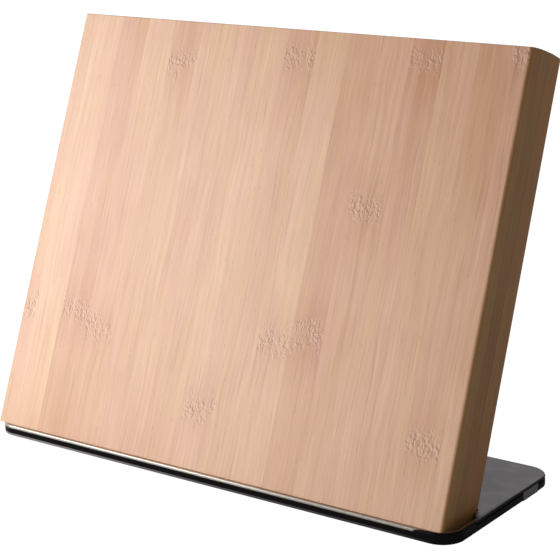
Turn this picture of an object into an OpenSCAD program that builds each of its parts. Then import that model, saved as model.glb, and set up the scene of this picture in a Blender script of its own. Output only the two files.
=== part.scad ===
// Counter-top knife rack: a laminated bamboo board with hidden magnets leans back in a
// shallow steel tray, and a weighted cover plate closes the tray behind it.
//
// Frame: +Z up, the board's magnetic face looks towards -Y. The origin is on the table
// plane, under the centre of the rack's overall box.

/* [Board] */
// Width of the board
board_w = 300; // [280:10:300]
// Thickness of the board, front face to back face
board_t = 34.5; // [33.5:0.5:36]
// Length of the front face above the rim, along the slope
board_h = 246.5; // [220:0.5:300]
// Rise of the board's rounded top end above its front edge, along the slope
top_rise = 2.1; // [1:0.1:3]
// Backward lean of the board, in degrees from upright
lean = 20.5; // [18:0.5:22]
// Whole stave widths across the board
stave_count = 15; // [14:1:15]
// Thickness of the front layer of staves
front_t = 10.5; // [10.5:0.5:12]
// Thickness of the core layer of staves
core_t = 9.5; // [8:0.5:10]
// Radius on the board's four long edges
edge_r = 2; // [1:0.5:3]
// Sideways offset of the board from the middle of the base
board_shift = -3.3; // [-4:0.1:-2]

/* [Base] */
// Width of the base
base_w = 307; // [307:1:315]
// Depth of the base, front to back
base_d = 109.5; // [105:0.5:120]
// Height of the tray's rim above its underside
tray_h = 6.1; // [6:0.1:7]
// Thickness of the tray's side walls
wall_t = 2.3; // [1.9:0.1:2.3]
// Thickness of the tray's floor
floor_t = 1.9; // [1.7:0.1:1.9]
// Outer radius of the base's corners
corner_r = 13; // [12:1:15]
// Gap between the front of the rim and the board's face at the height of the rim
front_land = 2.45; // [2.35:0.05:2.8]
// Thickness of the cover plate's sheet steel
plate_t = 1.2; // [1:0.1:1.2]
// Thickness of the rubber feet
foot_t = 1; // [0.8:0.1:2]

/* [Magnets] */
// Height of one magnet along the slope of the board
magnet_h = 20; // [15:1:25]
// Thickness of one magnet
magnet_t = 5; // [4:0.5:5]
// Wood left in front of the magnets
skin_t = 3; // [2.5:0.5:3.5]
// Height of the lower magnet row along the slope, above the rim
row_low = 95; // [60:5:110]
// Height of the upper magnet row along the slope, above the rim
row_high = 180; // [150:5:200]

/* [Hidden] */
// 0.1 mm to 0.4 mm of room lets the parts go together.
slip = 0.1;
clearance = 0.4;
cut = 1;

// Levels above the table
tray_z = foot_t;
floor_z = tray_z + floor_t;
rim_z = tray_z + tray_h;
plate_z = rim_z - plate_t;

// Board
back_t = board_t - front_t - core_t;
stave_w = board_w / stave_count;
board_drop = 12;
outer_staves = stave_count + 1;

// The board's top end is a shallow arc across its thickness, highest at the depth top_crest.
top_reach = board_h + top_rise;
top_crest = 0.7 * board_t;
top_r = (top_crest * top_crest + top_rise * top_rise) / (2 * top_rise);
back_h = top_reach - top_r + sqrt(pow(top_r, 2) - pow(board_t - top_crest, 2));
overall_d = front_land + back_h * sin(lean) + board_t * cos(lean);

// Base
plate_front = front_land + board_t / cos(lean) + clearance;
ear_l = 15;
ear_side = 5;
plate_gap = 0.7;
lip_side = 0.6 * plate_t;
tab_l = 16.5;
tab_y = 0.76 * base_d;
ballast_t = 2.5;
tape_t = plate_z - floor_z - ballast_t;
tape_w = 20;
foot_r = 7;
foot_inset = 18;

// Magnets
magnets_per_row = 6;
channel_l = 12 * stave_w;
channel_h = magnet_h + clearance;
keeper_t = front_t - skin_t - magnet_t - slip;
magnet_gap = 2;

// Fasteners: M4 countersunk screws into brass inserts
screw_r = 2;
screw_head_r = 4;
screw_head_h = 2;
screw_l = 12;
socket_r = 1.25;
socket_h = 1.4;
insert_r = 3;
insert_l = 9;
insert_z = tray_z + screw_head_h + clearance;
hole_top = insert_z + insert_l + 2;
screw_y = front_land + (front_t + core_t + back_t * 0.52) / cos(lean);
screw_columns = [-5.5, -2.5, 2.5, 5.5];

function two_digits(i) = i < 10 ? str("0", i) : str(i);
function stave_name(layer, i) = str(layer, "_stave_", two_digits(i));

FRONT = [for (i = [1:outer_staves]) stave_name("front", i)];
CORE = [for (i = [1:stave_count]) stave_name("core", i)];
BACK = [for (i = [1:outer_staves]) stave_name("back", i)];
FITTINGS = [
    "magnets_upper", "magnets_lower", "keeper_upper", "keeper_lower",
    "base_tray", "cover_plate", "ballast_plate", "bonding_tape",
    "board_screws", "threaded_inserts", "rubber_feet"
];

$fn = 64;

// Left edge of stave i, counted from 0. The core's staves are all of full width. The outer
// layers start and end with a half stave, so that their joints fall between the core's.
function core_edge(i) = i * stave_w - board_w / 2;
function outer_edge(i) = max(-board_w / 2, min(board_w / 2, core_edge(i - 0.5)));

// Base coordinates: y runs back from the front of the rim
module in_base() translate([0, -overall_d / 2, 0]) children();

// Board coordinates: x across, y into the board's thickness, z up along its front face
module in_board()
    in_base() translate([board_shift, front_land, rim_z]) rotate([-lean, 0, 0]) children();

// Rectangle with four rounded corners, its front edge on y = 0
module rounded_rect(w, d, r) {
    translate([-w / 2 + r, 0]) square([w - 2 * r, d]);
    translate([-w / 2, r]) square([w, d - 2 * r]);
    for (x = [-w / 2 + r, w / 2 - r], y = [r, d - r])
        translate([x, y]) circle(r);
}

// The base's outline, pulled in by inset on every side
module base_outline(inset)
    translate([0, inset]) rounded_rect(base_w - 2 * inset, base_d - 2 * inset, corner_r - inset);

// Everything above the rim, and the space inside the tray below it
module board_envelope() in_base() {
    translate([-board_w, -board_w, rim_z]) cube([2 * board_w, 2 * board_w, 2 * board_h]);
    translate([0, 0, floor_z])
        linear_extrude(rim_z - floor_z) base_outline(wall_t + slip);
}

// Side view of the whole board, with its rounded top end, wider than the board
module board_side_view()
    translate([-board_w, 0, 0]) rotate([90, 0, 90]) linear_extrude(2 * board_w)
        intersection() {
            translate([-cut, -board_drop]) square([board_t + 2 * cut, board_drop + 2 * board_h]);
            translate([top_crest, top_reach - top_r]) union() {
                circle(top_r, $fn = 360);
                translate([-top_r, -2 * board_h]) square([2 * top_r, 2 * board_h]);
            }
        }

// One stave from x0 to x1 and from depth t0 to depth t1, rounded on the board's long edges
module stave(x0, x1, t0, t1) intersection() {
    in_board() translate([0, 0, -board_drop]) linear_extrude(top_reach + board_drop + cut)
        intersection() {
            translate([x0, t0]) square([x1 - x0, t1 - t0]);
            rounded_rect(board_w, board_t, edge_r);
        }
    in_board() board_side_view();
    board_envelope();
}

// Round-ended channels, milled across the front layer from behind, that take the magnets
module magnet_channels()
    for (row = [row_low, row_high])
        in_board() translate([0, front_t + cut, row]) rotate([90, 0, 0])
            linear_extrude(front_t - skin_t + cut) {
                square([channel_l, channel_h], center = true);
                for (x = [-channel_l / 2, channel_l / 2])
                    translate([x, 0]) circle(channel_h / 2);
            }

module at_screws()
    in_base() for (column = screw_columns)
        translate([board_shift + column * stave_w, screw_y, 0]) children();

module screw_head(grow) cylinder(h = screw_head_h, r1 = screw_head_r + grow, r2 = screw_r + grow);

// Blind holes in the foot of the board
module screw_holes()
    at_screws() translate([0, 0, tray_z]) cylinder(h = hole_top - tray_z, r = insert_r);

function tone(i, light, dark) = i * 7 % 5 < 2 ? dark : light;

module front_stave(i) color(tone(i, "#eac9ae", "#dcb496")) difference() {
    stave(outer_edge(i - 1), outer_edge(i), 0, front_t);
    magnet_channels();
}

module core_stave(i) color(tone(i, "#c79f78", "#b98f68"))
    stave(core_edge(i - 1), core_edge(i), front_t, front_t + core_t);

module back_stave(i) color(tone(i + 2, "#e3c0a2", "#d6ad8d")) difference() {
    stave(outer_edge(i - 1), outer_edge(i), board_t - back_t, board_t);
    screw_holes();
}

// A row of block magnets side by side in one channel
module magnet_row(row) color("#c9cbce") in_board()
    for (i = [0:magnets_per_row - 1]) {
        pitch = channel_l / magnets_per_row;
        translate([i * pitch - channel_l / 2 + magnet_gap / 2, skin_t, row - magnet_h / 2])
            cube([pitch - magnet_gap, magnet_t, magnet_h]);
    }

// Mild-steel strip behind one row of magnets, which closes their field towards the face
module keeper(row) color("#8b8e92") in_board()
    translate([(magnet_gap - channel_l) / 2, skin_t + magnet_t, row - magnet_h / 2])
        cube([channel_l - magnet_gap, keeper_t, magnet_h]);

// Room for the cover plate's tabs in the tray's left and right walls
module tab_notches()
    for (side = [-1, 1])
        translate([side * base_w / 2, tab_y, tray_z + (plate_z - tray_z) / 2])
            cube([2 * (plate_t + slip), tab_l + 2 * slip, plate_z - tray_z + cut], center = true);

// Everything the cover plate covers: the space behind the board, and an ear that runs forward
// beside the board's right side, where the tray is wider than the board. The corner between
// them follows the board's rounded edge.
module covered_area() {
    side = board_w / 2 + board_shift + clearance;
    translate([-base_w, plate_front]) square([2 * base_w, base_d]);
    polygon([
        [side, plate_front + cut], [side, plate_front - ear_side], [base_w / 2, plate_front - ear_l],
        [base_w, plate_front - ear_l], [base_w, plate_front + cut]
    ]);
    translate([side - edge_r, plate_front - edge_r]) difference() {
        square(edge_r + cut);
        circle(edge_r);
    }
}

// Shallow tray: its rim is full height round the board. Where the plate covers it, it is lower
// and leaves a narrow gap under the plate, which rests on its lip and on the taped ballast.
module base_tray() color("#17161a") difference() {
    in_base() difference() {
        translate([0, 0, tray_z]) linear_extrude(tray_h) base_outline(0);
        translate([0, 0, floor_z]) linear_extrude(tray_h) base_outline(wall_t);
        translate([0, 0, plate_z - plate_gap]) linear_extrude(tray_h) covered_area();
        tab_notches();
    }
    at_screws() translate([0, 0, tray_z]) screw_head(slip);
}

// Sheet-steel cover behind the board: a flat top, a lip folded down to the tray's floor along
// its front edge and its ear, and a tab folded down at each side
module cover_plate() color("#6a666a") in_base() {
    translate([0, 0, plate_z]) linear_extrude(plate_t) intersection() {
        base_outline(0);
        covered_area();
    }
    translate([0, 0, floor_z]) linear_extrude(plate_z - floor_z) difference() {
        intersection() {
            base_outline(wall_t + slip);
            covered_area();
        }
        translate([lip_side, plate_t]) covered_area();
    }
    for (side = [-1, 1])
        translate([side * (base_w - plate_t) / 2, tab_y, (tray_z + plate_z) / 2])
            cube([plate_t, tab_l, plate_z - tray_z], center = true);
}

// Steel plate that gives the base its weight
module ballast_plate() color("#5b5e62") in_base()
    translate([0, 0, floor_z]) linear_extrude(ballast_t) intersection() {
        base_outline(wall_t + clearance);
        translate([-base_w, plate_front + plate_t + clearance]) square([2 * base_w, base_d]);
    }

// Two strips of double-sided tape between the ballast and the cover plate
module bonding_tape() color("#e8e6df") in_base()
    for (y = [plate_front + plate_t + tape_w, base_d - tape_w])
        translate([0, y, plate_z - tape_t / 2])
            cube([base_w - 4 * corner_r, tape_w / 2, tape_t], center = true);

module board_screws() color("#9a9da1") at_screws() translate([0, 0, tray_z]) difference() {
    union() {
        screw_head(0);
        cylinder(h = screw_l, r = screw_r);
    }
    translate([0, 0, -cut]) cylinder(h = socket_h + cut, r = socket_r, $fn = 6);
}

module threaded_inserts() color("#c9a24b") at_screws() translate([0, 0, insert_z]) difference() {
    cylinder(h = insert_l, r = insert_r);
    translate([0, 0, -cut]) cylinder(h = insert_l + 2 * cut, r = screw_r + slip / 2);
}

module rubber_feet() color("#222222") in_base()
    for (x = [foot_inset - base_w / 2, base_w / 2 - foot_inset], y = [foot_inset, base_d - foot_inset])
        translate([x, y, 0]) cylinder(h = foot_t, r = foot_r);

for (i = [1:outer_staves]) {
    front_stave(i);
    back_stave(i);
}
for (i = [1:stave_count])
    core_stave(i);
magnet_row(row_high);  // magnets_upper
magnet_row(row_low);  // magnets_lower
keeper(row_high);  // keeper_upper
keeper(row_low);  // keeper_lower
base_tray();
cover_plate();
ballast_plate();
bonding_tape();
board_screws();
threaded_inserts();
rubber_feet();
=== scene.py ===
"""Looks for the free-standing magnetic knife rack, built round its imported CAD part.

The frame is in metres. Materials, sizes and edge radii here are in millimetres. "Board
coordinates" are x across the board, t into its thickness from the front face, and s up its
front face from the level of the tray's rim.
"""

import math
import random

import bpy
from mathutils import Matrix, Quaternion, Vector


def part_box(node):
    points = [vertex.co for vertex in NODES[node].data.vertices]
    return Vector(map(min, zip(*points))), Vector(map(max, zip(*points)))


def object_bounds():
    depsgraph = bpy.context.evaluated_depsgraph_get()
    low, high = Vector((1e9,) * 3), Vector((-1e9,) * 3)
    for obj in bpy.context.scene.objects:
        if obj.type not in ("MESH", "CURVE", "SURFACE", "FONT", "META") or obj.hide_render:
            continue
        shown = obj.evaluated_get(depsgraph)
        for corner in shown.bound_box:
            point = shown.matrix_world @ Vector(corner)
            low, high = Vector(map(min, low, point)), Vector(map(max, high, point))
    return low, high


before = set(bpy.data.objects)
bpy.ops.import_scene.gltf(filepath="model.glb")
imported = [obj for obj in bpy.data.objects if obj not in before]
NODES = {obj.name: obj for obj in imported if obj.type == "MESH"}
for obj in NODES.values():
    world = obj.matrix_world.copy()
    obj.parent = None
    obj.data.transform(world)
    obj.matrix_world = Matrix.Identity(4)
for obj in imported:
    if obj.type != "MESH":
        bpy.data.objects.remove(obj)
cad_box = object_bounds()

MM = 0.001
TRAY_LOW, TRAY_HIGH = [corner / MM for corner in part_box("base_tray")]
PLATE_LOW, PLATE_HIGH = [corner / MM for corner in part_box("cover_plate")]

# Sizes of the CAD part: the tray's outer corner and wall, how far below the rim that wall ends
# under the plate, the plate's thickness, and the rounding of the board's long edges
CORNER_R = 13.0
WALL_T = 2.3
LOW_WALL = 1.9
PLATE_T = 1.2
LONG_EDGE_R = 2.0

# Rounding that is added here: the board's top end, and the tray's and the plate's outer edges
BOARD_ROUND = 2.0
SHEET_ROUND = 1.0

# Edges bent more than ROUND_DEG can be rounded. Those over CREASE_DEG afterwards stay crisp.
ROUND_DEG = 30
CREASE_DEG = 35

# The painted highlight band at the top of the tray's wall, and the painted reflection of the floor at its
# foot
RIM_GLINT_BAND = 1.65
FOOT_REFLECTION_BAND = 1.7

# The camera, seen from the middle of the CAD box: degrees, metres, and shares of the frame
VIEW_AZIMUTH = 34.304
VIEW_ELEVATION = 11.164
VIEW_ROLL = -0.257
VIEW_DISTANCE = 0.9666
VIEW_OFFSET = Vector((0.0298, 0.04418))
VIEW_SHIFT = (-0.0736, -0.199)
VIEW_LENS = 112.67
SENSOR_W = 36

# Strength of the white behind and under the object as the camera sees it, and the share of
# that white in the floor close to the object
BACKDROP = 1.08
FLOOR_GLOW = 0.95
WHITE = (1, 1, 1, 1)

# Each front stave: tone at its top, tone at its foot, and the height of its node mark as a
# share of the board's height. Tone 0 is average, -1 is dark and rosy, 1 is pale. The tops are
# set darker than the feet on the whole: painted shade towards the top of the face. A mark at
# NO_MARK is off the stave.
NO_MARK = -1.0
FRONT_STAVES = [
    (0.2, 0.2, 0.28),
    (1.1, 0.9, NO_MARK),
    (-0.7, -1.3, 0.29),
    (0.4, -0.5, 0.26),
    (-0.6, -0.1, 0.89),
    (0.5, 0.2, NO_MARK),
    (0.0, 0.2, NO_MARK),
    (0.7, 0.9, 0.13),
    (-0.9, 0.5, 0.93),
    (0.6, 1.0, 0.30),
    (-1.2, -1.1, 0.33),
    (-0.6, -0.3, 0.62),
    (-2.2, -0.1, 0.94),
    (-0.4, -0.2, NO_MARK),
    (-1.7, -0.1, 0.16),
    (-0.9, 0.3, 0.97),
]


def board_frame():
    """The board's lean, and the point on its face at the rim's level, in metres."""
    stave = NODES["front_stave_08"].data
    face = max(stave.polygons, key=lambda polygon: polygon.area)
    lean = math.asin(face.normal.z)
    rim = TRAY_HIGH.z * MM
    climb = (rim - face.center.z) / math.cos(lean)
    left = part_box("front_stave_01")[0].x
    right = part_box("front_stave_16")[1].x
    return lean, Vector(((left + right) / 2, face.center.y + climb * math.sin(lean), rim))


LEAN, BOARD_ORIGIN = board_frame()
BOARD_UP = Vector((0, math.sin(LEAN), math.cos(LEAN)))
BOARD_IN = Vector((0, math.cos(LEAN), -math.sin(LEAN)))


def farthest(node, direction):
    """How far a stave reaches along a direction from the board's origin, in millimetres."""
    return max((v.co - BOARD_ORIGIN).dot(direction) for v in NODES[node].data.vertices) / MM


BOARD_W = 2 * (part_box("back_stave_16")[1].x - BOARD_ORIGIN.x) / MM
BOARD_T = farthest("back_stave_08", BOARD_IN)
BOARD_H = farthest("back_stave_08", BOARD_UP)
GLUE_DEPTHS = (farthest("front_stave_08", BOARD_IN), farthest("core_stave_08", BOARD_IN))


def rgb(code):
    """Linear colour with alpha from an sRGB code such as "e2b99f"."""
    channels = [int(code[i : i + 2], 16) / 255 for i in (0, 2, 4)]
    return tuple(c / 12.92 if c <= 0.04045 else ((c + 0.055) / 1.055) ** 2.4 for c in channels) + (1,)


# Tone changes one stave's colour by these shares of red, green and blue per unit.
TONE_STEP = (0.048, 0.088, 0.10)
# One unit of a stave's seed moves its grain by this much, so that no two staves are alike.
SEED_STEP = (53.0, 17.0, 211.0)
BAMBOO = rgb("e8b698")
BAMBOO_GOLD = rgb("e6b791")
BAMBOO_STREAK = rgb("a9744f")
BAMBOO_MARK_AND_SHADE = rgb("b9826a")
BAMBOO_PAINTED_GLEAM = rgb("f6dcc6")
BAMBOO_SIDE = rgb("be8a51")
BAMBOO_EDGE_TINT_AND_GLINT = rgb("cf9650")
END_GRAIN = rgb("c79a6e")
END_GRAIN_DARK = rgb("ab7f56")
END_DOTS = rgb("6e4426")


class Graph:
    """Adds nodes to one node tree. Any value passed in is a number, a tuple or a socket."""

    def __init__(self, tree):
        self.tree = tree

    def feed(self, socket, value):
        if isinstance(value, bpy.types.NodeSocket):
            self.tree.links.new(value, socket)
        else:
            socket.default_value = value

    def add(self, kind, inputs=None, **settings):
        node = self.tree.nodes.new(kind)
        for name, value in settings.items():
            setattr(node, name, value)
        for key, value in (inputs or {}).items():
            self.feed(node.inputs[key], value)
        return node

    def math(self, operation, *values):
        node = self.add("ShaderNodeMath", dict(enumerate(values)), operation=operation)
        return node.outputs[0]

    def times(self, a, b):
        return self.math("MULTIPLY", a, b)

    def plus(self, a, b):
        return self.math("ADD", a, b)

    def minus(self, a, b):
        return self.math("SUBTRACT", a, b)

    def vector(self, operation, *values):
        node = self.add("ShaderNodeVectorMath", dict(enumerate(values)), operation=operation)
        scalar = operation in ("DOT_PRODUCT", "LENGTH", "DISTANCE")
        return node.outputs["Value" if scalar else "Vector"]

    def step(self, value, low, high):
        """Smooth step: 0 at low and 1 at high, in either order."""
        values = {"Value": value, "From Min": low, "From Max": high}
        return self.add("ShaderNodeMapRange", values, interpolation_type="SMOOTHSTEP").outputs[0]

    def split(self, vector):
        return self.add("ShaderNodeSeparateXYZ", {0: vector}).outputs

    def join(self, x, y, z):
        return self.add("ShaderNodeCombineXYZ", {0: x, 1: y, 2: z}).outputs[0]

    def noise(self, point, stretch, detail=2.0, roughness=0.5, distortion=0.0):
        """Noise about 0.5, with stretch its cells per millimetre along each axis."""
        values = {"Vector": self.vector("MULTIPLY", point, stretch), "Scale": 1.0}
        values.update({"Detail": detail, "Roughness": roughness, "Distortion": distortion})
        return self.add("ShaderNodeTexNoise", values).outputs[0]

    def cells(self, point, stretch):
        """Voronoi cells: the distance to the nearest centre, and the cell's random colour."""
        values = {"Vector": self.vector("MULTIPLY", point, stretch), "Scale": 1.0}
        return self.add("ShaderNodeTexVoronoi", values, feature="F1").outputs[0:2]

    def mix(self, factor, a, b, mode="MIX"):
        node = self.add("ShaderNodeMix", {0: factor, 6: a, 7: b}, data_type="RGBA", blend_type=mode)
        return node.outputs[2]

    def mix_value(self, factor, a, b):
        return self.add("ShaderNodeMix", {0: factor, 2: a, 3: b}).outputs[0]


class Shader(Graph):
    """One material: a graph with the surface's position, a Principled shader and its output."""

    def __init__(self, name):
        self.material = bpy.data.materials.new(name)
        self.material.use_nodes = True
        super().__init__(self.material.node_tree)
        self.tree.nodes.clear()
        geometry = self.add("ShaderNodeNewGeometry")
        self.position = geometry.outputs["Position"]
        self.normal = geometry.outputs["True Normal"]
        self.point = self.vector("MULTIPLY", self.position, (1 / MM,) * 3)

    def on_board(self):
        """The surface point in board coordinates."""
        values = {"Vector": self.position, "Location": tuple(BOARD_ORIGIN)}
        values.update({"Rotation": (-LEAN, 0, 0), "Scale": (MM,) * 3})
        return self.add("ShaderNodeMapping", values, vector_type="TEXTURE").outputs[0]

    def own(self, name):
        """A custom property of the object that wears this material."""
        node = self.add("ShaderNodeAttribute", attribute_type="OBJECT", attribute_name=name)
        return node.outputs["Fac"]

    def finish(self, color, roughness, height, depth, **inputs):
        """Closes the material. Height is a socket about 0 to 1, and depth its relief."""
        bump = self.add("ShaderNodeBump", {"Height": height, "Distance": depth * MM, "Strength": 1.0})
        values = {"Base Color": color, "Roughness": roughness, "Normal": bump.outputs[0]}
        values.update({key.replace("_", " "): value for key, value in inputs.items()})
        surface = self.add("ShaderNodeBsdfPrincipled", values)
        self.add("ShaderNodeOutputMaterial", {"Surface": surface.outputs[0]})
        return self.material


def outline_distance(g, point, half_w, half_d, radius, middle):
    """Signed distance from a rounded rectangle in x and y, below 0 inside it."""
    x, y, _ = g.split(g.vector("SUBTRACT", point, middle))
    over_x = g.minus(g.math("ABSOLUTE", x), half_w - radius)
    over_y = g.minus(g.math("ABSOLUTE", y), half_d - radius)
    outside = g.join(g.math("MAXIMUM", over_x, 0.0), g.math("MAXIMUM", over_y, 0.0), 0.0)
    inside = g.math("MINIMUM", g.math("MAXIMUM", over_x, over_y), 0.0)
    return g.minus(g.plus(g.vector("LENGTH", outside), inside), radius)


def base_inset(g, point):
    """Distance from the base's outline, below 0 inside it."""
    middle = (TRAY_LOW + TRAY_HIGH) / 2
    half = (TRAY_HIGH - TRAY_LOW) / 2
    return outline_distance(g, point, half.x, half.y, CORNER_R, tuple(middle))


def grain_point(g, board):
    """Where a stave samples its grain: moved by the stave's seed, and swaying sideways."""
    seed = g.own("seed")
    point = g.vector("ADD", board, g.join(*[g.times(seed, step) for step in SEED_STEP]))
    sway = g.minus(g.noise(point, (0.03, 0.03, 0.012), detail=2.0), 0.5)
    return g.vector("ADD", point, g.join(g.times(sway, 7.0), 0.0, 0.0))


def node_mark(g, point, height):
    """Masks of a stave's node mark: its dark flecks, the glow round it, and its pale gleams. The
    flecks carry painted shade and the gleams are painted highlights, as if the mark's ripple
    were relief lit from one side.
    """
    wobble = g.noise(point, (0.14, 0.14, 0.05), detail=3.0)
    away = g.plus(g.minus(g.split(point)[2], height), g.times(g.minus(wobble, 0.5), 22.0))
    away = g.math("ABSOLUTE", away)
    band = g.step(away, 11.0, 2.0)
    glow = g.step(away, 34.0, 3.0)
    ripple = [
        g.noise(g.vector("ADD", point, offset), (0.62, 0.62, 0.30), detail=2.0, distortion=1.4)
        for offset in ((0.0, 0.0, 0.0), (0.7, 0.0, 0.5))
    ]
    # The ripple sampled twice a little apart: one side of each ridge gets painted shade, the other a
    # painted highlight.
    slope = g.minus(*ripple)
    patchy = g.step(g.noise(point, (0.13, 0.13, 0.09), detail=3.0), 0.30, 0.52)
    flecks_and_shade = g.times(g.times(g.step(slope, 0.02, 0.15), band), patchy)
    painted_gleam = g.times(g.times(g.step(slope, -0.02, -0.15), band), patchy)
    return flecks_and_shade, glow, painted_gleam


def dark_dashes(g, point):
    """Mask of a few short dark dashes along the grain."""
    distance, color = g.cells(point, (1.1, 1.1, 0.16))
    chosen = g.step(g.split(color)[0], 0.90, 0.94)
    return g.times(g.step(distance, 0.30, 0.12), chosen)


def stave_tint(g, point, share, lines, fine, glow):
    """What a stave's tones and its grain multiply red, green and blue by."""
    broad = g.noise(point, (0.16, 0.16, 0.006), detail=2.0)
    cloud = g.noise(point, (0.05, 0.05, 0.02), detail=3.0)
    # For the front staves, tone_top also holds painted shade towards the top of the face.
    tone = g.mix_value(g.step(share, 0.45, 0.95), g.own("tone_foot"), g.own("tone_top"))
    for grain, amount in ((broad, 3.8), (lines, 3.8), (fine, 4.4), (cloud, 3.0)):
        tone = g.plus(tone, g.times(g.minus(grain, 0.5), amount))
    tone = g.minus(tone, glow)
    return [g.plus(1.0, g.times(tone, amount)) for amount in TONE_STEP]


def glue_lines(g, t):
    """Mask of the thin glue lines between the board's three layers."""
    return g.math("MAXIMUM", *[
        g.step(g.math("ABSOLUTE", g.minus(t, depth)), 0.35, 0.05) for depth in GLUE_DEPTHS
    ])


def side_color(g, t, share, tint, streaks, glue):
    """The board's side faces, with a darker core layer, painted lighter towards the top and darker to the
    foot as painted shade.
    """
    past_front, back = [g.step(t, depth - 0.1, depth + 0.1) for depth in GLUE_DEPTHS]
    core = g.minus(past_front, back)
    # Painted shade: lighter up the side, darker to its foot.
    light = g.plus(0.95, g.times(share, 0.35))
    light = g.plus(light, g.minus(g.times(back, 0.10), g.times(core, 0.12)))
    color = g.mix(1.0, BAMBOO_SIDE, g.join(*[g.times(part, light) for part in tint]), mode="MULTIPLY")
    color = g.mix(g.times(streaks, 0.6), color, BAMBOO_STREAK)
    return g.mix(g.times(glue, 0.5), color, END_DOTS)


def end_grain(g, point, tint, glue):
    """Colour of the board's two ends, and the mask of their dark fibre bundles."""
    flat = g.vector("MULTIPLY", point, (1.0, 1.0, 0.0))
    dots = g.step(g.cells(flat, (1.5, 1.9, 0.0))[0], 0.42, 0.22)
    rings = g.noise(flat, (0.10, 0.75, 0.0), detail=3.0)
    color = g.mix(g.step(rings, 0.35, 0.7), END_GRAIN, END_GRAIN_DARK)
    color = g.mix(1.0, color, g.join(*tint), mode="MULTIPLY")
    color = g.mix(g.times(dots, 0.45), color, END_DOTS)
    return g.mix(g.times(glue, 0.45), color, END_DOTS), dots


def bamboo():
    """Sanded and oiled bamboo. Tones, mark and seed are custom properties of each stave."""
    g = Shader("bamboo")
    board = g.on_board()
    _, t, s = g.split(board)
    share = g.math("DIVIDE", s, BOARD_H)
    point = grain_point(g, board)
    lines = g.noise(point, (0.70, 0.70, 0.014), detail=3.0, roughness=0.6)
    fine = g.noise(point, (1.5, 1.5, 0.035), detail=2.0, roughness=0.6)
    rosy = g.step(g.noise(point, (0.07, 0.07, 0.011), detail=3.0), 0.36, 0.64)
    streaks = g.step(g.noise(point, (1.1, 1.1, 0.02), detail=3.0), 0.57, 0.72)
    dashes = dark_dashes(g, point)
    flecks_and_shade, glow, painted_gleam = node_mark(g, board, g.own("mark"))
    tint = stave_tint(g, point, share, lines, fine, glow)
    glue = glue_lines(g, t)

    color = g.mix(rosy, BAMBOO_GOLD, BAMBOO)
    color = g.mix(1.0, color, g.join(*tint), mode="MULTIPLY")
    color = g.mix(g.times(streaks, 0.28), color, BAMBOO_STREAK)
    color = g.mix(g.times(dashes, 0.35), color, BAMBOO_STREAK)
    # Dark node flecks with painted shade, then painted highlights beside them.
    color = g.mix(g.times(flecks_and_shade, 0.9), color, BAMBOO_MARK_AND_SHADE)
    color = g.mix(g.times(painted_gleam, 0.55), color, BAMBOO_PAINTED_GLEAM)

    # The rounded long edges, between face and side, get a warmer colour: partly a warmer tint of the wood,
    # partly a painted highlight where the lit face turns into the side.
    side = g.step(g.math("ABSOLUTE", g.split(g.normal)[0]), 0.5, 0.95)
    arris = g.times(g.step(side, 0.0, 0.2), g.step(side, 1.0, 0.8))
    color = g.mix(side, color, side_color(g, t, share, tint, streaks, glue))
    color = g.mix(g.times(arris, 0.8), color, BAMBOO_EDGE_TINT_AND_GLINT)

    along = g.math("ABSOLUTE", g.vector("DOT_PRODUCT", g.normal, tuple(BOARD_UP)))
    end = g.step(along, 0.6, 0.85)
    end_color, dots = end_grain(g, point, tint, glue)
    color = g.mix(end, color, end_color)

    roughness = g.plus(0.36, g.times(g.minus(lines, 0.5), 0.12))
    roughness = g.plus(roughness, g.times(flecks_and_shade, 0.12))
    roughness = g.mix_value(end, roughness, 0.72)
    height = g.plus(g.times(fine, 0.5), g.times(lines, 0.6))
    height = g.minus(height, g.times(g.plus(flecks_and_shade, dashes), 0.8))
    height = g.minus(height, g.times(g.times(dots, end), 1.5))
    return g.finish(color, roughness, height, 0.05, Specular_IOR_Level=0.45)


def painted_rim_highlight(g, inset):
    """Mask of the tray's rim, given as bare metal, and of the band below it: a painted highlight,
    weaker to the right. Round the front right corner and behind it, only the rim's inner edge
    carries it."""
    x, _, z = g.split(g.point)
    rim = TRAY_HIGH.z
    # The painted highlight reaches further in round the corner and grows weaker to the right, as the light
    # does.
    reach = g.mix_value(g.step(x, 126.0, 142.0), 0.5, -1.45)
    strength = g.mix_value(g.step(x, -20.0, 90.0), 0.88, 0.6)
    bright = g.times(g.step(g.minus(inset, reach), 0.15, -0.15), strength)
    upward = g.step(g.split(g.normal)[2], 0.15, 0.45)
    top = g.times(upward, g.step(z, rim - 1.3, rim - 1.0))
    band = g.times(g.step(inset, -0.5, -0.3), g.step(z, rim - RIM_GLINT_BAND, rim - RIM_GLINT_BAND + 0.2))
    return g.times(g.math("MAXIMUM", top, band), bright)


def painted_floor_reflection(g, inset):
    """Mask of the painted reflection of the floor at the foot of the tray's wall, all but its right-hand
    side.
    """
    x, _, z = g.split(g.point)
    low = g.step(z, TRAY_LOW.z + FOOT_REFLECTION_BAND, TRAY_LOW.z + FOOT_REFLECTION_BAND - 0.3)
    return g.times(g.times(low, g.step(inset, -1.2, -0.8)), g.step(x, 150.0, 110.0))


def tray_inside(g, inset):
    """Mask of the tray's inner walls and floor."""
    z = g.split(g.point)[2]
    inside = g.times(g.step(inset, -WALL_T + 0.1, -WALL_T), g.step(z, TRAY_HIGH.z - 0.3, TRAY_HIGH.z - 0.6))
    return g.times(inside, g.step(z, TRAY_LOW.z + 0.5, TRAY_LOW.z + 0.7))


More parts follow.
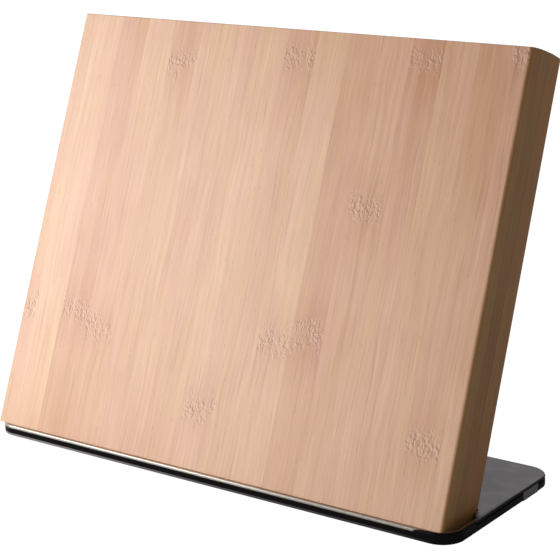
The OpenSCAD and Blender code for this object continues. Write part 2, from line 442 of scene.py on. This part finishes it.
def lacquered_tray():
    """Gloss black lacquer with a painted highlight along the rim, given as bare metal, and a painted
    reflection of the floor at the foot. Satin grey inside.
    """
    g = Shader("black_lacquered_steel")
    inset = base_inset(g, g.point)
    x, _, z = g.split(g.point)
    inside = tray_inside(g, inset)
    # edge: the painted highlight along the rim.
    edge = painted_rim_highlight(g, inset)
    speck = g.step(g.noise(g.point, (1.8, 1.8, 1.8), detail=2.0), 0.66, 0.78)
    cloud = g.noise(g.point, (0.03, 0.03, 0.08), detail=3.0)
    peel = g.noise(g.point, (0.7, 0.7, 0.7), detail=1.0)
    grain = g.noise(g.point, (0.35, 4.0, 4.0), detail=2.0)
    brushed = g.step(grain, 0.3, 0.7)

    black = g.mix(g.times(speck, 0.3), rgb("09080c"), rgb("1b191e"))
    grey = g.mix(brushed, rgb("59555a"), rgb("6b676b"))
    rim_glint = g.mix(brushed, rgb("c9c2b9"), rgb("e6e0d6"))
    # Near the rim's inner edge the highlight takes a warm painted reflection of the wood.
    rim_glint = g.mix(g.step(inset, -0.4, -1.0), rim_glint, rgb("c9a586"))
    # Painted reflection of the floor, lighter on the left and darker to the right, as the light falls.
    pale = g.mix(g.step(x, -140.0, 90.0), rgb("928e8b"), rgb("4c494a"))
    color = g.mix(inside, black, grey)
    color = g.mix(edge, color, rim_glint)
    color = g.mix(painted_floor_reflection(g, inset), color, pale)

    roughness = g.plus(0.20, g.times(g.minus(cloud, 0.5), 0.12))
    roughness = g.mix_value(inside, roughness, 0.34)
    roughness = g.mix_value(edge, roughness, 0.32)
    metal = g.times(g.math("MAXIMUM", edge, inside), 0.6)
    gloss = g.mix_value(g.step(z, TRAY_LOW.z + 1.2, TRAY_LOW.z + 0.6), 0.12, 0.0)
    height = g.plus(g.times(peel, 0.8), g.times(grain, 0.1))
    return g.finish(color, roughness, height, 0.006, Metallic=metal, Specular_IOR_Level=gloss)


def satin_plate():
    """Fine-textured satin grey coating, with painted shade along the edges of its top that widens towards
    the front, and paler on its tabs.
    """
    g = Shader("satin_grey_steel")
    inset = base_inset(g, g.point)
    _, y, z = g.split(g.point)
    below = g.minus(PLATE_HIGH.z, z)
    sand = g.noise(g.point, (2.2, 2.2, 2.2), detail=2.0)
    cloud = g.noise(g.point, (0.025, 0.04, 0.04), detail=4.0)
    smudge = g.step(g.noise(g.point, (0.06, 0.10, 0.1), detail=4.0), 0.52, 0.70)
    color = g.mix(g.step(sand, 0.3, 0.7), rgb("5a5459"), rgb("676166"))
    color = g.mix(g.times(g.step(cloud, 0.35, 0.7), 0.35), color, rgb("545155"))
    top = g.step(below, PLATE_T + 0.1, PLATE_T - 0.1)
    # Painted shade along the top's edges, widening towards the plate's front, next to the board.
    nearness = g.step(y, PLATE_HIGH.y - 5.0, PLATE_LOW.y)
    painted_edge_shade = g.plus(inset, g.plus(0.4, g.times(nearness, 1.6)))
    color = g.mix(g.times(g.step(painted_edge_shade, -0.9, 0.7), top), color, rgb("131215"))
    tab = g.step(below, PLATE_T + 0.1, PLATE_T + 0.4)
    color = g.mix(g.times(tab, g.step(inset, -0.3, -0.1)), color, rgb("8d8c8a"))
    roughness = g.plus(0.40, g.times(g.minus(cloud, 0.5), 0.12))
    roughness = g.minus(roughness, g.times(smudge, 0.06))
    return g.finish(color, roughness, sand, 0.02, Metallic=0.35)


def brushed_metal(name, light, dark, roughness, stretch, tarnish):
    """Metal with a directional grain and patches of tarnish."""
    g = Shader(name)
    grain = g.noise(g.point, stretch, detail=3.0, roughness=0.7)
    patch = g.step(g.noise(g.point, (0.12, 0.12, 0.12), detail=4.0), 0.48, 0.7)
    color = g.mix(g.step(grain, 0.3, 0.7), rgb(dark), rgb(light))
    color = g.mix(g.times(patch, 0.4), color, rgb(tarnish))
    rough = g.plus(roughness, g.times(g.minus(grain, 0.5), 0.25))
    return g.finish(color, rough, grain, 0.015, Metallic=1.0)


def foam_tape():
    """Off-white foam with small pores."""
    g = Shader("foam_tape")
    pore = g.cells(g.point, (1.6, 1.6, 1.6))[0]
    color = g.mix(g.step(pore, 0.1, 0.6), rgb("b9b3a4"), rgb("e6e1d5"))
    return g.finish(color, 0.9, pore, 0.12)


def rubber():
    """Matt black rubber with patches of dust."""
    g = Shader("black_rubber")
    grain = g.noise(g.point, (1.4, 1.4, 1.4), detail=3.0)
    dust = g.step(g.noise(g.point, (0.2, 0.2, 0.6), detail=4.0), 0.5, 0.72)
    color = g.mix(g.times(dust, 0.35), rgb("1b1b1c"), rgb("4b4843"))
    return g.finish(color, g.plus(0.72, g.times(dust, 0.12)), grain, 0.05)


def is_crisp(g, angle_deg):
    """Selects edges whose faces meet at more than an angle."""
    angle = g.add("GeometryNodeInputMeshEdgeAngle").outputs["Unsigned Angle"]
    return g.math("GREATER_THAN", angle, math.radians(angle_deg))


def geometry_tree(name, build):
    """A geometry-nodes tree: build takes the graph and the incoming mesh and returns the result."""
    tree = bpy.data.node_groups.new(name, "GeometryNodeTree")
    tree.interface.new_socket("Geometry", in_out="INPUT", socket_type="NodeSocketGeometry")
    tree.interface.new_socket("Geometry", in_out="OUTPUT", socket_type="NodeSocketGeometry")
    g = Graph(tree)
    start = g.add("NodeGroupInput").outputs[0]
    g.add("NodeGroupOutput", {0: build(g, start)})
    return tree


def weld(g, mesh):
    """Joins the imported mesh's split vertices and drops its stored normals."""
    mesh = g.add("GeometryNodeMergeByDistance", {"Geometry": mesh, "Distance": 1e-6}).outputs[0]
    for name in ("custom_normal", "sharp_edge"):
        mesh = g.add("GeometryNodeRemoveAttribute", {"Geometry": mesh, "Name": name}).outputs[0]
    return g.add("GeometryNodeSetShadeSmooth", {"Geometry": mesh, "Shade Smooth": True}).outputs[0]


def weigh(weight):
    """A tree that stores each edge's share of the bevel, as the weight function gives it."""

    def build(g, mesh):
        values = {"Geometry": mesh, "Name": "bevel_weight_edge", "Value": weight(g)}
        node = g.add("GeometryNodeStoreNamedAttribute", values, domain="EDGE", data_type="FLOAT")
        return node.outputs[0]

    return geometry_tree("weigh", build)


def crease(g, mesh):
    """Keeps edges sharper than CREASE_DEG crisp."""
    values = {"Geometry": mesh, "Selection": is_crisp(g, CREASE_DEG), "Shade Smooth": False}
    return g.add("GeometryNodeSetShadeSmooth", values, domain="EDGE").outputs[0]


CREASE_TREE = geometry_tree("crease", crease)
WELD_TREE = geometry_tree("weld", weld)


def edge_position(g):
    """The middle of each edge in millimetres."""
    return g.vector("MULTIPLY", g.add("GeometryNodeInputPosition").outputs[0], (1 / MM,) * 3)


def every_edge(g):
    return is_crisp(g, ROUND_DEG)


def board_outline(g):
    """Edges round the outside of the board's top face: in full at the back, lightly in front."""
    point = g.vector("SUBTRACT", edge_position(g), tuple(BOARD_ORIGIN / MM))
    s = g.vector("DOT_PRODUCT", point, tuple(BOARD_UP))
    t = g.vector("DOT_PRODUCT", point, tuple(BOARD_IN))
    flat = g.join(g.split(point)[0], t, 0.0)
    middle = (0.0, BOARD_T / 2, 0.0)
    outer = outline_distance(g, flat, BOARD_W / 2, BOARD_T / 2, LONG_EDGE_R, middle)
    chosen = g.times(g.math("GREATER_THAN", s, BOARD_H * 0.9), g.math("GREATER_THAN", outer, -0.3))
    share = g.plus(0.25, g.times(g.math("GREATER_THAN", t, BOARD_T - 1.0), 0.75))
    return g.times(g.times(chosen, share), is_crisp(g, ROUND_DEG))


def tray_outline(g):
    """The tray's outer top and bottom edges almost in full, and its other edges lightly."""
    point = edge_position(g)
    z = g.split(point)[2]
    outside = g.math("GREATER_THAN", base_inset(g, point), -0.4)
    top = g.math("GREATER_THAN", z, TRAY_HIGH.z - LOW_WALL - 0.3)
    foot = g.math("LESS_THAN", z, TRAY_LOW.z + 0.1)
    share = g.plus(0.2, g.times(outside, g.plus(g.times(top, 0.8), g.times(foot, 0.7))))
    return g.times(share, is_crisp(g, ROUND_DEG))


def plate_outline(g):
    """The plate's outer top edges in full, and its other edges lightly."""
    point = edge_position(g)
    outside = g.math("GREATER_THAN", base_inset(g, point), -0.4)
    top = g.math("GREATER_THAN", g.split(point)[2], PLATE_HIGH.z - 0.1)
    return g.times(g.plus(0.2, g.times(g.times(outside, top), 0.8)), is_crisp(g, ROUND_DEG))


def round_edges(nodes, weight, radius, segments=3, clamp=True):
    """Rounds chosen edges of CAD nodes with modifiers, which leave their meshes as they are."""
    tree = weigh(weight)
    for node in nodes:
        modifiers = NODES[node].modifiers
        modifiers.new("weld", "NODES").node_group = WELD_TREE
        flatten = modifiers.new("flatten", "DECIMATE")
        flatten.decimate_type = "DISSOLVE"
        flatten.angle_limit = math.radians(0.5)
        modifiers.new("weigh", "NODES").node_group = tree
        bevel = modifiers.new("round", "BEVEL")
        bevel.limit_method = "WEIGHT"
        bevel.width = radius * MM
        bevel.segments = segments
        bevel.use_clamp_overlap = clamp
        modifiers.new("crease", "NODES").node_group = CREASE_TREE
        modifiers.new("normals", "WEIGHTED_NORMAL").keep_sharp = True


def wear(node, material):
    """Gives a CAD node its material."""
    slots = NODES[node].data.materials
    slots.clear()
    slots.append(material)


def staves(layer):
    return sorted(name for name in NODES if name.startswith(layer + "_stave_"))


def set_stave(node, tone_top, tone_foot, mark, seed):
    """Stores what the bamboo material reads from a stave. Mark is a share of the board's height."""
    piece = NODES[node]
    piece["tone_top"] = float(tone_top)
    piece["tone_foot"] = float(tone_foot)
    piece["mark"] = float(mark * BOARD_H)
    piece["seed"] = float(seed)


def dress_staves():
    """The front staves as listed, and the hidden core and back ones at random."""
    wood = bamboo()
    for i, (name, stave) in enumerate(zip(staves("front"), FRONT_STAVES)):
        set_stave(name, *stave, i)
    draw = random.Random(8)
    for i, name in enumerate(staves("core") + staves("back")):
        tone = draw.uniform(-1.2, 0.8)
        mark = draw.uniform(0.05, 1.4)
        set_stave(name, tone + draw.uniform(-0.4, 0.4), tone, mark, 20 + i)
    board = staves("front") + staves("core") + staves("back")
    for name in board:
        wear(name, wood)
    round_edges(board, board_outline, BOARD_ROUND, segments=5)


def dress_fittings():
    """Everything but the staves."""
    along_x = (0.05, 3.0, 3.0)
    mild = brushed_metal("mild_steel", "8d9093", "5f6265", 0.42, along_x, "574a40")
    nickel = brushed_metal("nickel_magnet", "d2d3d0", "adaead", 0.2, (1.5, 1.5, 1.5), "9a958c")
    zinc = brushed_metal("zinc_screw", "b9bbbf", "85888c", 0.3, (2.5, 2.5, 0.6), "8f8a74")
    brass = brushed_metal("brass_insert", "d8b25e", "a8843c", 0.28, (0.6, 0.6, 5.0), "7d6233")
    finishes = {
        "base_tray": lacquered_tray(),
        "cover_plate": satin_plate(),
        "ballast_plate": mild,
        "keeper_upper": mild,
        "keeper_lower": mild,
        "magnets_upper": nickel,
        "magnets_lower": nickel,
        "board_screws": zinc,
        "threaded_inserts": brass,
        "bonding_tape": foam_tape(),
        "rubber_feet": rubber(),
    }
    for name, material in finishes.items():
        wear(name, material)
    round_edges(["base_tray"], tray_outline, SHEET_ROUND, segments=5, clamp=False)
    round_edges(["cover_plate"], plate_outline, SHEET_ROUND, segments=4)
    round_edges(["rubber_feet"], every_edge, 0.4)
    round_edges(["magnets_upper", "magnets_lower", "keeper_upper", "keeper_lower"], every_edge, 0.4)
    round_edges(["ballast_plate"], every_edge, 0.2)
    round_edges(["board_screws", "threaded_inserts"], every_edge, 0.12, segments=2)


def add_floor():
    """A wide pale floor that fades to the white background away from the object."""
    reach = 6.0
    corners = [(-reach, -reach, 0), (reach, -reach, 0), (reach, reach, 0), (-reach, reach, 0)]
    mesh = bpy.data.meshes.new("floor")
    mesh.from_pydata(corners, [], [(0, 1, 2, 3)])
    floor = bpy.data.objects.new("floor", mesh)
    bpy.context.scene.collection.objects.link(floor)
    g = Shader("pale_floor")
    seen = g.add("ShaderNodeLightPath").outputs["Is Camera Ray"]
    far = g.step(g.vector("LENGTH", g.position), 0.5, 1.6)
    grain = g.noise(g.point, (0.01, 0.01, 0.01), detail=2.0)
    shade = g.mix(grain, rgb("d9d9da"), rgb("dfdfde"))
    lit = g.add("ShaderNodeBsdfDiffuse", {"Color": g.mix(seen, (0.72, 0.72, 0.72, 1), shade)})
    white = g.add("ShaderNodeEmission", {"Color": WHITE, "Strength": BACKDROP})
    share = g.times(seen, g.plus(FLOOR_GLOW, g.times(far, 1 - FLOOR_GLOW)))
    surface = g.add("ShaderNodeMixShader", {0: share, 1: lit.outputs[0], 2: white.outputs[0]})
    g.add("ShaderNodeOutputMaterial", {"Surface": surface.outputs[0]})
    mesh.materials.append(g.material)


def add_world():
    """White behind the object as the camera sees it, and dim light from all round, which is
    stronger from the left and from above."""
    world = bpy.data.worlds.new("studio")
    bpy.context.scene.world = world
    world.use_nodes = True
    g = Graph(world.node_tree)
    g.tree.nodes.clear()
    seen = g.add("ShaderNodeLightPath").outputs["Is Camera Ray"]
    x, _, z = g.split(g.add("ShaderNodeTexCoord").outputs["Generated"])
    left = g.times(g.step(x, 0.6, -0.8), 0.22)
    top = g.times(g.step(z, 0.1, 1.0), 0.13)
    strength = g.mix_value(seen, g.plus(0.10, g.plus(left, top)), BACKDROP)
    background = g.add("ShaderNodeBackground", {"Color": WHITE, "Strength": strength})
    g.add("ShaderNodeOutputWorld", {"Surface": background.outputs[0]})


def direction(azimuth, elevation):
    """Unit vector in degrees. Azimuth 0 is in front of the object, and 90 is at its right."""
    a, e = math.radians(azimuth), math.radians(elevation)
    return Vector((math.sin(a) * math.cos(e), -math.cos(a) * math.cos(e), math.sin(e)))


def add_softbox(name, azimuth, elevation, distance, size, radiance):
    """A square area light of a given radiance, turned to the middle of the object."""
    back = direction(azimuth, elevation)
    light = bpy.data.lights.new(name, "AREA")
    light.shape = "SQUARE"
    light.size = size
    light.energy = radiance * math.pi * size * size
    lamp = bpy.data.objects.new(name, light)
    bpy.context.scene.collection.objects.link(lamp)
    lamp.location = (cad_box[0] + cad_box[1]) / 2 + back * distance
    lamp.rotation_mode = "QUATERNION"
    lamp.rotation_quaternion = back.to_track_quat("Z", "Y")
    lamp.visible_camera = False


def add_studio():
    add_softbox("key", -51, 17, distance=0.95, size=0.46, radiance=6.9)
    add_softbox("front_fill", -24, -3, distance=0.55, size=0.34, radiance=2.4)
    add_softbox("back_fill", 200, 25, distance=1.6, size=1.2, radiance=0.6)
    bpy.context.scene.view_settings.view_transform = "Standard"


def shift_lens(camera):
    """Drives the lens shift, so that it is on only while the camera is where it is now."""
    home = camera.location
    near = f"abs(px - {home.x:.5f}) < 0.001 and abs(py - {home.y:.5f}) < 0.001"
    for axis, amount in zip("xy", VIEW_SHIFT):
        driver = camera.data.driver_add("shift_" + axis).driver
        for name, part in (("px", "location.x"), ("py", "location.y")):
            variable = driver.variables.new()
            variable.name = name
            variable.targets[0].id = camera
            variable.targets[0].data_path = part
        driver.expression = f"{amount} if {near} else 0.0"


def add_camera():
    """The camera at the photographed viewpoint."""
    back = direction(VIEW_AZIMUTH, VIEW_ELEVATION)
    right = direction(VIEW_AZIMUTH + 90, 0)
    up = back.cross(right)
    data = bpy.data.cameras.new("camera")
    data.lens = VIEW_LENS
    data.sensor_width = SENSOR_W
    camera = bpy.data.objects.new("camera", data)
    bpy.context.scene.collection.objects.link(camera)
    bpy.context.scene.camera = camera
    middle = (cad_box[0] + cad_box[1]) / 2
    camera.location = middle + right * VIEW_OFFSET.x + up * VIEW_OFFSET.y + back * VIEW_DISTANCE
    camera.rotation_mode = "QUATERNION"
    roll = Quaternion((0, 0, 1), math.radians(VIEW_ROLL))
    camera.rotation_quaternion = back.to_track_quat("Z", "Y") @ roll
    shift_lens(camera)


dress_staves()
dress_fittings()
add_floor()
add_world()
add_studio()
add_camera()
